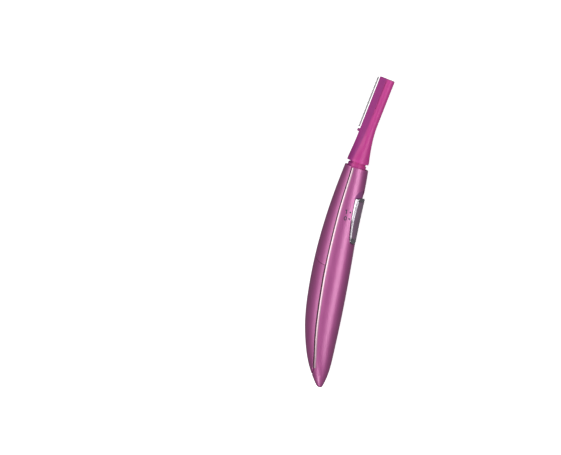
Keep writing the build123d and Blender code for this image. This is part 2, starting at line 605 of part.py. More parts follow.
# printed marks, a film of ink on the front shell
MARK = Plane(
    origin=(MARK_X, TIP_Y, MID_Z),
    x_dir=(sin(radians(MARK_LEAN)), 0, -cos(radians(MARK_LEAN))),
    z_dir=(cos(radians(MARK_LEAN)), 0, sin(radians(MARK_LEAN))),
)
with BuildPart() as switch_marks:
    with BuildSketch(MARK):
        with Locations((DOT_ACROSS, MARK_ON), (DOT_ACROSS, MARK_OFF)):
            Circle(DOT_RADIUS)
        with Locations((FIGURE_ACROSS, MARK_OFF)):
            Ellipse(FIGURE_WIDTH / 2, FIGURE_HEIGHT / 2)
            Ellipse(FIGURE_WIDTH / 2 - STROKE, FIGURE_HEIGHT / 2 - STROKE, mode=Mode.SUBTRACT)
        with Locations((FIGURE_ACROSS, MARK_ON)):
            Rectangle(STROKE, FIGURE_HEIGHT)
        with Locations((FIGURE_ACROSS - STROKE, MARK_ON + FIGURE_HEIGHT / 2 - STROKE)):
            Rectangle(2 * STROKE, STROKE)
    extrude(amount=FAR)
    add(handle_inked.part, mode=Mode.INTERSECT)
    add(handle_outer.part, mode=Mode.SUBTRACT)
finish(switch_marks, "switch_marks")

# =============================================================================================
# Rocking neck
# =============================================================================================
with BuildPart() as neck:
    with BuildSketch(HEAD) as neck_profile:
        with BuildLine():
            Polyline(
                (NECK_BORE, COLLAR_FROM),
                (COLLAR_FOOT_RADIUS, COLLAR_FROM),
                (COLLAR_RADIUS, COLLAR_FULL_FROM),
                (COLLAR_RADIUS, COLLAR_TO),
                (SPIGOT_RADIUS, COLLAR_TO),
                (SPIGOT_RADIUS, SPIGOT_TO),
                (NECK_BORE, SPIGOT_TO),
                close=True,
            )
        make_face()
    revolve(axis=Axis(HEAD.origin, HEAD.y_dir))
    notch_half = LEAF_HALF + SLIVER
    block(HEAD, (0, FAR), (COLLAR_FROM, LEAF_NOTCH_TO), (-notch_half, notch_half), mode=Mode.SUBTRACT)
    rod(HEAD, "z", (0, 0, -COLLAR_RADIUS), 2 * COLLAR_RADIUS, NECK_PIN_RADIUS, mode=Mode.SUBTRACT)
finish(neck, "neck")

with BuildPart() as neck_pins:
    for side in (-1, 1):
        rod(HEAD, "z", (0, 0, side * NECK_PIN_FROM), side * (NECK_PIN_TO - NECK_PIN_FROM), NECK_PIN_RADIUS)
finish(neck_pins, "neck_pins")

with BuildPart() as neck_return_leaf:
    block(MID, LEAF_X, (BULKHEADS[3][1], LEAF_TO), (-LEAF_HALF, LEAF_HALF))
finish(neck_return_leaf, "neck_return_leaf")

# =============================================================================================
# Head
# =============================================================================================
for name, sign in (("head_upper_half", 1), ("head_lower_half", -1)):
    with BuildPart() as head_half:
        add(head_outer.part if sign > 0 else head_outer.part.mirror(HEAD))
        add(head_room.part, mode=Mode.SUBTRACT)
        add(head_corner.part, mode=Mode.SUBTRACT)
        groove = (GROOVE_P - GROOVE_WIDTH / 2, GROOVE_P + GROOVE_WIDTH / 2)
        floor = sorted((sign * GROOVE_FLOOR, sign * (GROOVE_FLOOR + GROOVE_DEPTH)))
        dimple = (GROOVE_P, DIMPLE_Q, sign * GROOVE_FLOOR)
        block(HEAD, groove, GROOVE_Q, floor, mode=Mode.SUBTRACT)
        rod(HEAD, "z", dimple, sign * GROOVE_DEPTH, DIMPLE_RADIUS, mode=Mode.SUBTRACT)
    finish(head_half, name)

with BuildPart() as comb_stop_knob:
    rod(HEAD, "x", (KNOB_P[0], KNOB_Q, 0), KNOB_P[1] - KNOB_P[0], KNOB_RADIUS)
    fillet(comb_stop_knob.edges().group_by(Axis.X)[0], KNOB_ROUND)
finish(comb_stop_knob, "comb_stop_knob")

with BuildPart() as lever_pin:
    rod(HEAD, "z", (LEVER_P, LEVER_Q, -LEVER_PIN_HALF), 2 * LEVER_PIN_HALF, LEVER_PIN_RADIUS)
finish(lever_pin, "lever_pin")

with BuildPart() as drive_lever:
    rod(HEAD, "z", (LEVER_P, LEVER_Q, LEVER_Z[0]), LEVER_Z[1] - LEVER_Z[0], LEVER_HUB)
    arm = (LEVER_Q - LEVER_ARM_HALF, LEVER_Q + LEVER_ARM_HALF)
    block(HEAD, (LEVER_ARM_P, LEVER_P), arm, LEVER_Z)
    rod(HEAD, "z", (LEVER_ARM_P, LEVER_Q, LEVER_Z[0]), LEVER_Z[1] - LEVER_Z[0], LEVER_ARM_HALF)
    rod(HEAD, "z", (LEVER_ARM_P, LEVER_Q, CARRIER_Z[0]), LEVER_Z[1] - CARRIER_Z[0], TIP_PIN_RADIUS)
    with BuildSketch(HEAD.offset(LEVER_Z[0])):
        with BuildLine():
            Polyline(
                (-FORK_OUTER, FORK_Q[1]),
                (FORK_OUTER, FORK_Q[1]),
                (FORK_OUTER, FORK_Q[2]),
                (LEVER_P + STEM_WIDTH / 2, LEVER_Q),
                (LEVER_P - STEM_WIDTH / 2, LEVER_Q),
                (-FORK_OUTER, FORK_Q[2]),
                close=True,
            )
        make_face()
    extrude(amount=LEVER_Z[1] - LEVER_Z[0])
    for side in (-1, 1):
        tine = sorted((side * FORK_GAP, side * FORK_OUTER))
        block(HEAD, tine, (FORK_Q[0], FORK_Q[2]), (-FORK_HALF, FORK_HALF))
    pin_foot = (LEVER_P, LEVER_Q, -LEVER_PIN_HALF)
    rod(HEAD, "z", pin_foot, 2 * LEVER_PIN_HALF, LEVER_PIN_RADIUS + FIT, mode=Mode.SUBTRACT)
finish(drive_lever, "drive_lever")

with BuildPart() as fixed_blade:
    block(HEAD, FIXED_P, BLADE_Q, FIXED_Z)
    for slot in range(SLOTS):
        q = FIRST_SLOT + TOOTH_PITCH * slot
        block(HEAD, (-FAR, FIXED_P[0] + TOOTH_DEPTH), (q, q + TOOTH_SLOT), FIXED_Z, mode=Mode.SUBTRACT)
    for q in BLADE_SCREWS_Q:
        rod(HEAD, "z", (BLADE_SCREW_P, q, 0), BLADE_SCREW_TO, BLADE_SCREW_RADIUS, mode=Mode.SUBTRACT)
finish(fixed_blade, "fixed_blade")

with BuildPart() as blade_screws:
    for q in BLADE_SCREWS_Q:
        head_from = SCREW_ROOM_Z[0] + FIT
        rod(HEAD, "z", (BLADE_SCREW_P, q, head_from), FIXED_Z[0] - head_from, BLADE_SCREW_HEAD)
        rod(HEAD, "z", (BLADE_SCREW_P, q, FIXED_Z[0]), BLADE_SCREW_TO - FIXED_Z[0], BLADE_SCREW_RADIUS)
finish(blade_screws, "blade_screws")

with BuildPart() as moving_blade:
    block(HEAD, MOVING_P, MOVING_Q, MOVING_Z)
    for slot in range(SLOTS - 1):
        q = FIRST_SLOT + TOOTH_PITCH / 2 + TOOTH_PITCH * slot
        block(HEAD, (-FAR, MOVING_P[0] + TOOTH_DEPTH), (q, q + TOOTH_SLOT), MOVING_Z, mode=Mode.SUBTRACT)
finish(moving_blade, "moving_blade")

with BuildPart() as blade_carrier:
    block(HEAD, CARRIER_P, CARRIER_Q, CARRIER_Z)
    pin_slot = (LEVER_Q - TIP_PIN_RADIUS - FIT, LEVER_Q + TIP_PIN_RADIUS + FIT)
    block(HEAD, (LEVER_ARM_P - TIP_PIN_RADIUS - FIT, 0), pin_slot, CARRIER_Z, mode=Mode.SUBTRACT)
finish(blade_carrier, "blade_carrier")

with BuildPart() as blade_leaf_spring:
    block(HEAD, LEAF_SPRING_P, LEAF_SPRING_Q, LEAF_SPRING_Z)
finish(blade_leaf_spring, "blade_leaf_spring")
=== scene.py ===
import json
import math

import bmesh
import bpy
from mathutils import Matrix, Vector
from mathutils.bvhtree import BVHTree


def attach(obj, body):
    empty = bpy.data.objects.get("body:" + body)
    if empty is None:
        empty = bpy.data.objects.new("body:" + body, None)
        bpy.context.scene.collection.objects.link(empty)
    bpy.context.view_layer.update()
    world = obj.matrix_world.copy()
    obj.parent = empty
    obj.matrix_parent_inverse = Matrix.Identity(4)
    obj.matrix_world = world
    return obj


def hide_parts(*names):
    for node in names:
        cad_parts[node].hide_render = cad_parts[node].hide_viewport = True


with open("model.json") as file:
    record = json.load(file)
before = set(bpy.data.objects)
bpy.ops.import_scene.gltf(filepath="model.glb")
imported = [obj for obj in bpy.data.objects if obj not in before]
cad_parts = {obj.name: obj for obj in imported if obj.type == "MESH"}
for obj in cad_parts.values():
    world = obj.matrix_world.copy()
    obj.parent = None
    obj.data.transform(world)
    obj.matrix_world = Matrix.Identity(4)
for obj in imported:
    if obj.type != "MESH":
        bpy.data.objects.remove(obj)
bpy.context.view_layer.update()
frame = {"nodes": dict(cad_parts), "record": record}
MM = 0.001
NODES = frame["nodes"]
SCENE = bpy.context.scene


def in_metres(pairs):
    """Pairs of millimetres as pairs of metres."""
    return [(first * MM, second * MM) for first, second in pairs]


# ---------------------------------------------------------------------------------------------
# Sizes (metres), in step with the CAD part. A station is a distance from the pointed tip.
# ---------------------------------------------------------------------------------------------
TIP_Y = -80.0 * MM
MID_Z = 8.4 * MM
CAST_FROM = 50.0 * MM               # rays start this far out, past every shell

# seam between the front shell and the pieces behind it
SEAM_FROM, SEAM_TO, SHADOW_STRIP_TO = 9.6 * MM, 112.1 * MM, 111.8 * MM
COVER_SEAM_TO, BACK_SEAM_FROM = 61.0 * MM, 62.6 * MM
SEAM_STEP = 1.001 * MM              # a hair over 1 mm, so no count of steps hangs on rounding
SEAM_SEARCH, SEAM_HALVINGS = 2.5 * MM, 24
SEAM_MIDDLE, SEAM_REACH = 60.0 * MM, 50.0 * MM      # stations
SEAM_X, SEAM_BEND_ABOVE, SEAM_BEND_BELOW = -2.1 * MM, 3.0 * MM, 2.4 * MM

# strips along the seam, across: distance from the shell's edge, depth below the shell
LIP_SAMPLES = (0.6 * MM, 1.3 * MM)  # where the shell is past its rounded edge
FRONT_LIP = in_metres([
    (0.15, 0.3), (0.18, 0.13), (0.26, 0.04), (0.4, -0.01), (0.6, -0.02), (0.9, -0.02),
    (1.2, -0.015), (1.5, 0.02), (1.55, 0.3),
])
LIP_HIGHLIGHT_FADE = [1, 1, 1, 1, 0.95, 0.6, 0.25, 0, 0]      # painted highlight: pale at the edge, the body's pink far from it
REAR_LIP = in_metres([
    (0.12, 0.4), (0.14, 0.16), (0.2, 0.07), (0.3, 0.01), (0.45, -0.01), (0.65, 0.02), (0.7, 0.3),
])
# painted shadow: a dark strip down in the seam's groove
SEAM_SHADOW_STRIP = in_metres([(0.17, 0.14), (-0.42, 0.14), (-0.28, 0.8), (0.02, 0.8)])

# arched gap between the battery cover and the back shell
COVER_TOP, COVER_ARCH, COVER_HALF_GAP = 66.2 * MM, 10.4 * MM, 0.15 * MM
COVER_MIDDLE_X, PAST_COVER_LIP = -2.45 * MM, 0.9 * MM
# painted shadow strip in the gap: half its width, its depths below the shell, and how it is built
COVER_SHADOW_HALF, COVER_SHADOW_DEPTHS = 0.25 * MM, (0.03 * MM, 0.7 * MM)
COVER_SHADOW_SECTION = ((0, -1), (0, 1), (1, 0.4), (1, -0.4))     # which depth, share of the half
COVER_SHADOW_STEPS, COVER_SHADOW_TURN = 24, math.radians(87.5)      # each way from the back's middle
COVER_SHADOW_ROUNDS = 4               # times that a point is moved on to the arch

# leaning head
HEAD_LEAN, HEAD_PIVOT_Y = math.radians(11.8), 30.0 * MM
FACET_EDGE = (-1.5 * MM, -0.7 * MM)                 # across the head, where its flat face and the painted shade on it end
# across the head, where the painted shade on the blade's toothed edge ends
TEETH_EDGE = (-6.3 * MM, -6.1 * MM)

# thumb switch: stations, half widths at the lower end, the middle and the upper end, corners
SWITCH_FROM, SWITCH_TO, SWITCH_WIDEST = 74.6 * MM, 97.9 * MM, 86.5 * MM
SWITCH_HALVES = (3.1 * MM, 4.25 * MM, 3.7 * MM)
SWITCH_ROUNDS = (2.2 * MM, 1.2 * MM)
WINDOW_FROM, WINDOW_TO, WINDOW_GAP = 77.0 * MM, 96.2 * MM, 0.07 * MM
WINDOW_HALVES = (2.45 * MM, 3.35 * MM, 2.85 * MM)
WINDOW_ROUNDS = (1.7 * MM, 1.1 * MM)
END_STEPS, CORNER_STEPS, SIDE_STEPS = 4, 8, 12
CROWN_X, CROWN_RADIUS, CROWN_RISE = 0.2 * MM, 7.0 * MM, 0.65 * MM
FLOOR_X, FLOOR_RADIUS = 0.05 * MM, 6.2 * MM
SLIDER_INNER, SLIDER_OUTER = 6.32 * MM, 6.84 * MM
FRAME_FOOT = 0.4                    # share of the frame's width that stands on the slider
FRAME_ROLL = [                      # share of the way in, height above the crown
    (share, height * MM)
    for share, height in [
        (0.0, -0.5), (0.03, -0.28), (0.1, -0.1), (0.2, 0.0), (0.33, 0.05), (0.45, 0.0),
        (0.55, -0.1), (0.66, -0.04), (0.78, -0.02), (0.88, -0.08), (0.96, -0.2), (1.0, -0.34),
    ]
]
LENS_TOP, LENS_EDGE = -0.1 * MM, 0.12 * MM
LENS_COLUMNS, LENS_END_ROWS, LENS_SIDE_POWER = 11, 5, 6

# recess above the switch
WELL_FROM, WELL_TO, WELL_HALF, WELL_SKIN = 97.0 * MM, 101.8 * MM, 4.4 * MM, 0.05 * MM
WELL_STEPS, WELL_COLUMNS = 12, 10
WELL_LEAST_SQUARE = 1e-9            # square metres, of the half width where the round end closes

# cell
CELL_X, CELL_RADIUS, CELL_MARK_SINK = -1.1 * MM, 5.25 * MM, 0.05 * MM
CELL_MARK_STEP = 6                  # degrees
CELL_MARKS = {                      # material, first and last station, degrees round, height
    "cell_band_upper": ("cell_band", 52.0 * MM, 63.9 * MM, 360, 0.03 * MM),
    "cell_band_lower": ("cell_band", 22.0 * MM, 23.4 * MM, 360, 0.03 * MM),
    "cell_plus_bar": ("mark_ink", 57.6 * MM, 58.4 * MM, 40, 0.05 * MM),
    "cell_plus_stem": ("mark_ink", 56.2 * MM, 59.8 * MM, 9, 0.06 * MM),
    "cell_minus_bar": ("cell_band", 27.6 * MM, 28.4 * MM, 40, 0.03 * MM),
}

# ---------------------------------------------------------------------------------------------
# Camera, floor and light
# ---------------------------------------------------------------------------------------------
VIEW_TILT = math.radians(25.0)      # from straight above towards the switch side
VIEW_LIFT = math.radians(4.0)       # towards the head
VIEW_ROLL = math.radians(10.736)    # the handle leans this much clockwise of image up
VIEW_YAW = math.radians(2.301)      # the object stands right of the middle
VIEW_PITCH = math.radians(0.126)
VIEW_DISTANCE = 0.7859
FOCAL_LENGTH, SENSOR_WIDTH = 100.0, 36.0            # millimetres, as Blender counts them
CLIP_FROM, CLIP_TO = 0.01, 20.0

FLOOR_HALF, FLOOR_DROP = 6.0, 0.0002
FLOOR_LOOK = {
    "Base Color": (0.93, 0.93, 0.935, 1),
    "Roughness": 0.9,
    "Emission Color": (1.0, 1.0, 1.0, 1),
    "Emission Strength": 0.72,
}
WORLD_COLOUR, WORLD_STRENGTH = (0.97, 0.96, 1.0, 1), 0.16
LAMPS = {                           # direction, distance, size, watts, colour
    "side_box": ((0.84, 0.15, 0.52), 0.9, (0.5, 0.9), 4.0, (1.0, 0.985, 0.97)),
    "top_box": ((-0.36, 0.1, 0.93), 0.9, (0.42, 0.9), 3.0, (1.0, 0.985, 0.97)),
    "tip_box": ((0.1, -0.8, 0.6), 0.7, (0.22, 0.22), 0.9, (1.0, 0.985, 0.98)),
}


def build_camera():
    level = math.cos(VIEW_LIFT)
    back = Vector(
        (math.sin(VIEW_TILT) * level, math.sin(VIEW_LIFT), math.cos(VIEW_TILT) * level)
    )
    along = (Vector((0, 1, 0)) - back * back.y).normalized()
    facing = Matrix((along.cross(back), along, back)).transposed()
    roll = Matrix.Rotation(VIEW_ROLL, 3, "Z")
    yaw = Matrix.Rotation(VIEW_YAW, 3, "Y")
    pitch = Matrix.Rotation(VIEW_PITCH, 3, "X")
    place = Matrix.Translation(Vector((0, 0, MID_Z)) + back * VIEW_DISTANCE)
    data = bpy.data.cameras.new("camera")
    data.lens = FOCAL_LENGTH
    data.sensor_width = SENSOR_WIDTH
    data.clip_start = CLIP_FROM
    data.clip_end = CLIP_TO
    camera = bpy.data.objects.new("camera", data)
    camera.matrix_world = place @ (facing @ (roll @ yaw @ pitch)).to_4x4()
    SCENE.collection.objects.link(camera)
    SCENE.camera = camera


def area_light(name, direction, distance, size, watts, colour):
    """Softbox that faces the origin; its long side runs along Y."""
    data = bpy.data.lights.new(name, "AREA")
    data.shape = "RECTANGLE"
    data.size, data.size_y = size
    data.energy = watts
    data.color = colour
    lamp = bpy.data.objects.new(name, data)
    back = Vector(direction).normalized()
    across = Vector((0, 1, 0)).cross(back).normalized()
    along = back.cross(across)
    basis = Matrix((across, along, back)).transposed().to_4x4()
    lamp.matrix_world = Matrix.Translation(back * distance) @ basis
    SCENE.collection.objects.link(lamp)


def build_stage():
    mesh = bpy.data.meshes.new("floor")
    bm = bmesh.new()
    bmesh.ops.create_grid(bm, x_segments=2, y_segments=2, size=FLOOR_HALF)
    bm.to_mesh(mesh)
    bm.free()
    floor = bpy.data.objects.new("floor", mesh)
    floor.location.z = -FLOOR_DROP
    mesh.materials.append(new_material("floor_paper", FLOOR_LOOK)[0])
    floor.visible_glossy = False
    floor.visible_diffuse = False
    SCENE.collection.objects.link(floor)
    world = bpy.data.worlds.new("studio")
    world.use_nodes = True
    background = world.node_tree.nodes["Background"]
    background.inputs["Color"].default_value = WORLD_COLOUR
    background.inputs["Strength"].default_value = WORLD_STRENGTH
    SCENE.world = world
    for name, settings in LAMPS.items():
        area_light(name, *settings)
    SCENE.view_settings.view_transform = "Standard"
    SCENE.view_settings.look = "None"


# ---------------------------------------------------------------------------------------------
# Materials: scales are features per metre, depths are metres
# ---------------------------------------------------------------------------------------------
NOISE_RANGE = (0.3, 0.7)            # what nearly all of a noise's values lie in
EDGE_RANGE = (0.52, 0.6)            # pointiness, from flat to a clear convex edge

CLOUD_SCALE, FLAKE_SCALE, GLOSS_SCALE, PEEL_SCALE = 60.0, 9000.0, 420.0, 700.0
FLAKE_SHARE, FLAKE_LIGHT, GLOSS_SPREAD = 0.28, 1.35, 0.03
PEEL_DEPTH, FLAKE_DEPTH, PAINT_BUMP = 0.00002, 0.000004, 0.5
PAINT_WEAR, PAINT_WORN_LIGHT = 0.25, 1.5
PAINT_COAT = {"Coat Roughness": 0.34, "Coat IOR": 1.8}

TARNISH_SCALE = 300.0
GRAIN_DEPTH, METAL_BUMP = 0.000004, 0.6
GRAIN_ROUGHNESS = (0.75, 1.3)       # times the metal's own
METAL_WEAR, METAL_WORN_LIGHT = 0.4, 1.15

SHADE_SCALE, RUBBED_SCALE, RUBBED_SPREAD = 120.0, 500.0, 0.07
SPARK_SCALE, SPARK_DEPTH, PLASTIC_BUMP = 3600.0, 0.000015, 0.5
PLASTIC_WEAR, PLASTIC_WORN_LIGHT = 0.35, 1.4


def new_material(name, settings):
    """Material with the shader's uniform values set on its own sockets."""
    material = bpy.data.materials.new(name)
    material.use_nodes = True
    shader = material.node_tree.nodes["Principled BSDF"]
    for socket, value in settings.items():
        shader.inputs[socket].default_value = value
    return material, material.node_tree, shader


def noise(tree, scale, detail=3.0, along=None):
    """Noise in the object's own frame; along squeezes it by a factor on each axis."""
    place = tree.nodes.new("ShaderNodeTexCoord").outputs["Object"]
    if along:
        stretch = tree.nodes.new("ShaderNodeMapping")
        stretch.inputs["Scale"].default_value = along
        tree.links.new(place, stretch.inputs["Vector"])
        place = stretch.outputs["Vector"]
    texture = tree.nodes.new("ShaderNodeTexNoise")
    texture.inputs["Scale"].default_value = scale
    texture.inputs["Detail"].default_value = detail
    tree.links.new(place, texture.inputs["Vector"])
    return texture.outputs["Fac"]


def two_tone(tree, source, dark, light):
    """Colour that runs from dark to light with a noise."""
    node = tree.nodes.new("ShaderNodeValToRGB")
    for element, position, colour in zip(node.color_ramp.elements, NOISE_RANGE, (dark, light)):
        element.position = position
        element.color = (*colour, 1)
    tree.links.new(source, node.inputs["Fac"])
    return node.outputs["Color"]


def span(tree, source, low, high, source_range=NOISE_RANGE):
    """A factor rescaled to low..high."""
    node = tree.nodes.new("ShaderNodeMapRange")
    node.inputs["From Min"].default_value = source_range[0]
    node.inputs["From Max"].default_value = source_range[1]
    node.inputs["To Min"].default_value = low
    node.inputs["To Max"].default_value = high
    tree.links.new(source, node.inputs["Value"])
    return node.outputs["Result"]


def bump(tree, shader, height, depth, strength, after=None):
    """Fine relief on the shader's normal; after is the normal of a coarser one below it."""
    node = tree.nodes.new("ShaderNodeBump")
    node.inputs["Distance"].default_value = depth
    node.inputs["Strength"].default_value = strength
    tree.links.new(height, node.inputs["Height"])
    if after is not None:
        tree.links.new(after, node.inputs["Normal"])
    tree.links.new(node.outputs["Normal"], shader.inputs["Normal"])
    return node.outputs["Normal"]


def mix(tree, factor, first, second):
    """Mix of two colours, each given as a tuple or as a socket."""
    node = tree.nodes.new("ShaderNodeMix")
    node.data_type = "RGBA"
    tree.links.new(factor, node.inputs["Factor"])
    for value, socket in ((first, node.inputs["A"]), (second, node.inputs["B"])):
        if isinstance(value, tuple):
            socket.default_value = (*value, 1)
        else:
            tree.links.new(value, socket)
    return node.outputs["Result"]


def brighter(colour, factor):
    return tuple(min(1.0, part * factor) for part in colour)


def wear(tree, colour, light, share, factor):
    """The colour with up to a share of a brighter one on the mesh's convex edges."""
    pointiness = tree.nodes.new("ShaderNodeNewGeometry").outputs["Pointiness"]
    edges = span(tree, pointiness, 0.0, 1.0, EDGE_RANGE)
    amount = span(tree, edges, 0.0, share, (0.0, 1.0))
    return mix(tree, amount, colour, brighter(light, factor))


def across_head(tree, low, high):
    """0 below low and 1 above high, measured across the leaning head from its axis."""
    place = tree.nodes.new("ShaderNodeTexCoord")
    measure = tree.nodes.new("ShaderNodeVectorMath")
    measure.operation = "DOT_PRODUCT"
    measure.inputs[1].default_value = (math.cos(HEAD_LEAN), -math.sin(HEAD_LEAN), 0)
    tree.links.new(place.outputs["Object"], measure.inputs[0])
    axis = -HEAD_PIVOT_Y * math.sin(HEAD_LEAN)
    return span(tree, measure.outputs["Value"], 0.0, 1.0, (axis + low, axis + high))


def pearl_paint(
    name, dark, light, metallic, roughness, coat, tint, fades_to=None, flat_face_shade=None
):
    """Metallic lacquer over plastic: fine flakes, slow cloudiness, brighter worn edges.

    With fades_to the colour turns into that one where the mesh's own "fade" falls to 0,
    which fades the lip's painted highlight into the body's colour; the head's flat face along
    the blade gets a deeper colour, painted shade for the side that turns away from the light.
    """
    settings = {"Metallic": metallic, "Coat Weight": coat, "Specular Tint": (*tint, 1)}
    material, tree, shader = new_material(name, settings | PAINT_COAT)
    clouds = noise(tree, CLOUD_SCALE, detail=2.0)
    flakes = noise(tree, FLAKE_SCALE, detail=2.0)
    base = two_tone(tree, clouds, dark, light)
    sparkle = mix(tree, span(tree, flakes, 0.0, FLAKE_SHARE), base, brighter(light, FLAKE_LIGHT))
    colour = wear(tree, sparkle, light, PAINT_WEAR, PAINT_WORN_LIGHT)
    # painted highlight on the lip, fading into the body's colour away from the edge
    if fades_to:
        fade = tree.nodes.new("ShaderNodeAttribute")
        fade.attribute_name = "fade"
        colour = mix(tree, fade.outputs["Fac"], fades_to, colour)
    # painted shade on the head's flat face along the blade
    if flat_face_shade:
        colour = mix(tree, across_head(tree, *FACET_EDGE), flat_face_shade, colour)
    tree.links.new(colour, shader.inputs["Base Color"])
    gloss = noise(tree, GLOSS_SCALE, detail=4.0)
    uneven = span(tree, gloss, roughness - GLOSS_SPREAD, roughness + GLOSS_SPREAD)
    tree.links.new(uneven, shader.inputs["Roughness"])
    peel = bump(tree, shader, noise(tree, PEEL_SCALE, detail=2.0), PEEL_DEPTH, PAINT_BUMP)
    bump(tree, shader, flakes, FLAKE_DEPTH, PAINT_BUMP, peel)
    return material


def metal(
    name, dark, light, roughness, grain, along=(1, 1, 1), depth=GRAIN_DEPTH, teeth_shade=None
):
    """Bare or plated metal with a drawn or brushed grain.

    The blade's toothed edge gets a dark colour, painted shade for the shadow in the slots
    between its teeth.
    """
    material, tree, shader = new_material(name, {"Metallic": 1.0})
    brushed = noise(tree, grain, detail=4.0, along=along)
    base = two_tone(tree, noise(tree, TARNISH_SCALE), dark, light)
    colour = wear(tree, base, light, METAL_WEAR, METAL_WORN_LIGHT)
    # painted shade on the toothed edge, for the shadow in the slots
    if teeth_shade:
        colour = mix(tree, across_head(tree, *TEETH_EDGE), teeth_shade, colour)
    tree.links.new(colour, shader.inputs["Base Color"])
    uneven = span(tree, brushed, *(roughness * factor for factor in GRAIN_ROUGHNESS))
    tree.links.new(uneven, shader.inputs["Roughness"])
    bump(tree, shader, brushed, depth, METAL_BUMP)
    return material


def plastic(name, dark, light, roughness, texture=SPARK_SCALE, settings=None):
    """Moulded plastic with fine spark-eroded texture, cloudy colour and rubbed edges."""
    material, tree, shader = new_material(name, settings or {})
    base = two_tone(tree, noise(tree, SHADE_SCALE), dark, light)
    colour = wear(tree, base, light, PLASTIC_WEAR, PLASTIC_WORN_LIGHT)
    tree.links.new(colour, shader.inputs["Base Color"])
    rubbed = noise(tree, RUBBED_SCALE)
    uneven = span(tree, rubbed, roughness - RUBBED_SPREAD, roughness + RUBBED_SPREAD)
    tree.links.new(uneven, shader.inputs["Roughness"])
    bump(tree, shader, noise(tree, texture), SPARK_DEPTH, PLASTIC_BUMP)
    return material


RECIPES = {
    "body_pink": (pearl_paint, {
        "dark": (0.53, 0.10, 0.36), "light": (0.58, 0.12, 0.39),
        "metallic": 0.75, "roughness": 0.52, "coat": 1.0, "tint": (0.6, 0.45, 0.5),
    }),
    "head_magenta": (pearl_paint, {
        "dark": (0.62, 0.055, 0.32), "light": (0.69, 0.065, 0.36),
        "metallic": 0.1, "roughness": 0.55, "coat": 0.25, "tint": (0.6, 0.4, 0.5),
        # painted shade: the flat face along the blade is darker, as it turns away from the light
        "flat_face_shade": (0.46, 0.046, 0.31),
    }),
    "bezel_chrome": (metal, {
        "dark": (0.50, 0.48, 0.53), "light": (0.60, 0.58, 0.63),
        "roughness": 0.12, "grain": 380.0, "along": (1, 0.35, 1), "depth": 0.00025,
    }),
    "lens_smoke": (plastic, {
        "dark": (0.22, 0.135, 0.21), "light": (0.26, 0.165, 0.25), "roughness": 0.2,
        "settings": {"Coat Weight": 0.6, "Coat Roughness": 0.06},
    }),
    "blade_steel": (metal, {
        "dark": (0.55, 0.55, 0.56), "light": (0.66, 0.66, 0.67),
        # the dark toothed edge is painted shade
        "roughness": 0.3, "grain": 5000.0, "along": (8, 1, 8), "teeth_shade": (0.1, 0.09, 0.1),
    }),
    "inner_plastic": (plastic, {
        "dark": (0.62, 0.60, 0.56), "light": (0.72, 0.70, 0.66), "roughness": 0.5,
    }),
    "circuit_board": (plastic, {
        "dark": (0.02, 0.13, 0.05), "light": (0.03, 0.19, 0.07), "roughness": 0.4,
    }),
    "copper": (metal, {
        "dark": (0.72, 0.33, 0.18), "light": (0.86, 0.45, 0.27),
        "roughness": 0.3, "grain": 3000.0,
    }),
    "nickel_strip": (metal, {
        "dark": (0.60, 0.57, 0.50), "light": (0.72, 0.69, 0.62),
        "roughness": 0.28, "grain": 4000.0, "along": (1, 8, 1),
    }),
    "motor_steel": (metal, {
        "dark": (0.46, 0.46, 0.47), "light": (0.58, 0.58, 0.59),
        "roughness": 0.33, "grain": 4000.0, "along": (1, 6, 1),
    }),
    "screw_steel": (metal, {
        "dark": (0.38, 0.38, 0.40), "light": (0.52, 0.52, 0.54),
        "roughness": 0.3, "grain": 5000.0,
    }),
    "cell_jacket": (plastic, {
        "dark": (0.02, 0.05, 0.11), "light": (0.03, 0.08, 0.17), "roughness": 0.22,
        "settings": {"Coat Weight": 0.5},
    }),
    "mark_ink": (plastic, {
        "dark": (0.012, 0.03, 0.045), "light": (0.02, 0.045, 0.06),
        "roughness": 0.6, "texture": 10000.0,
    }),
    # painted highlight: the pale pink stands in for light caught on the front shell's rounded edge
    "lip_pink": (pearl_paint, {
        "dark": (1.0, 0.64, 0.77), "light": (1.0, 0.72, 0.83),
        "metallic": 0.8, "roughness": 0.36, "coat": 1.0, "tint": (1.0, 0.9, 0.95),
        "fades_to": (0.5, 0.14, 0.34),
    }),
    # painted shadow: near black for the strips set down in the seam's groove and the cover's gap
    "seal_rubber": (plastic, {
        "dark": (0.03, 0.01, 0.02), "light": (0.045, 0.015, 0.03), "roughness": 0.7,
    }),
    "well_magenta": (pearl_paint, {
        "dark": (0.36, 0.085, 0.29), "light": (0.41, 0.1, 0.33),
        "metallic": 0.3, "roughness": 0.5, "coat": 0.5, "tint": (0.5, 0.4, 0.5),
    }),
    # painted shade: a darker copy of the blade steel for the moving blade, which lies in shadow
    # under the fixed one
    "shaded_steel": (metal, {
        "dark": (0.12, 0.12, 0.125), "light": (0.18, 0.18, 0.185),
        "roughness": 0.35, "grain": 5000.0, "along": (8, 1, 8),
    }),
    "cell_band": (plastic, {
        "dark": (0.55, 0.3, 0.06), "light": (0.66, 0.38, 0.09), "roughness": 0.25,
        "settings": {"Coat Weight": 0.5, "Metallic": 0.6},
    }),
}
# the moving blade wears the painted shade copy of the blade steel
OWN_MATERIAL = {"moving_blade": "shaded_steel"}     # nodes that don't wear their slot's own


def dress_nodes():
    slot_of = {}
    for slot in frame["record"]["materials"]:
        for node in slot.get("nodes", []):
            slot_of[node] = slot["slot"]
    for name, node in NODES.items():
        slot = slot_of.get(name) or node.data.materials[0].name
        for entry in node.material_slots:
            entry.material = MATERIALS[OWN_MATERIAL.get(name, slot)]


